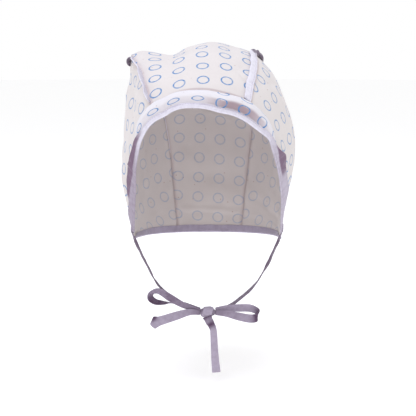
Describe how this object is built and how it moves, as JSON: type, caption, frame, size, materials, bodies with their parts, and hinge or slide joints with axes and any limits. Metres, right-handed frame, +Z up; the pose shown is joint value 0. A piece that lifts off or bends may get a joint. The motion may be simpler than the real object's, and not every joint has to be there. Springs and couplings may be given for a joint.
{
  "type": "radiation protection cap",
  "caption": "Cotton protective cap in worn form: centre and side panels with bound outward seams, a turned-up front band and tape ties that fasten in a bow under the chin.",
  "frame": {"origin": "inside top of the crown, where the cap sits on the head", "axes": "+Z up out of the crown, -Y to the wearer's front, +X to the right as seen from the front"},
  "size_m": [0.1794, 0.21, 0.3347],
  "materials": {
    "printed_cotton": "cream cotton with a fine weave, printed with small blue rings in a square lattice",
    "lavender_tape": "plain woven bias tape, matt lavender"
  },
  "bodies": {
    "root": {"centre_panel": "printed_cotton", "side_panel_left": "printed_cotton", "side_panel_right": "printed_cotton", "front_band": "printed_cotton", "front_edge_binding": "lavender_tape", "neck_edge_binding": "lavender_tape", "seam_binding_left": "lavender_tape", "seam_binding_right": "lavender_tape", "chin_tie_left": "lavender_tape", "chin_tie_right": "lavender_tape", "bow_knot": "lavender_tape", "bow_loop_left": "lavender_tape", "bow_loop_right": "lavender_tape", "tie_tail_left": "lavender_tape", "tie_tail_centre": "lavender_tape"}
  },
  "joints": []
}
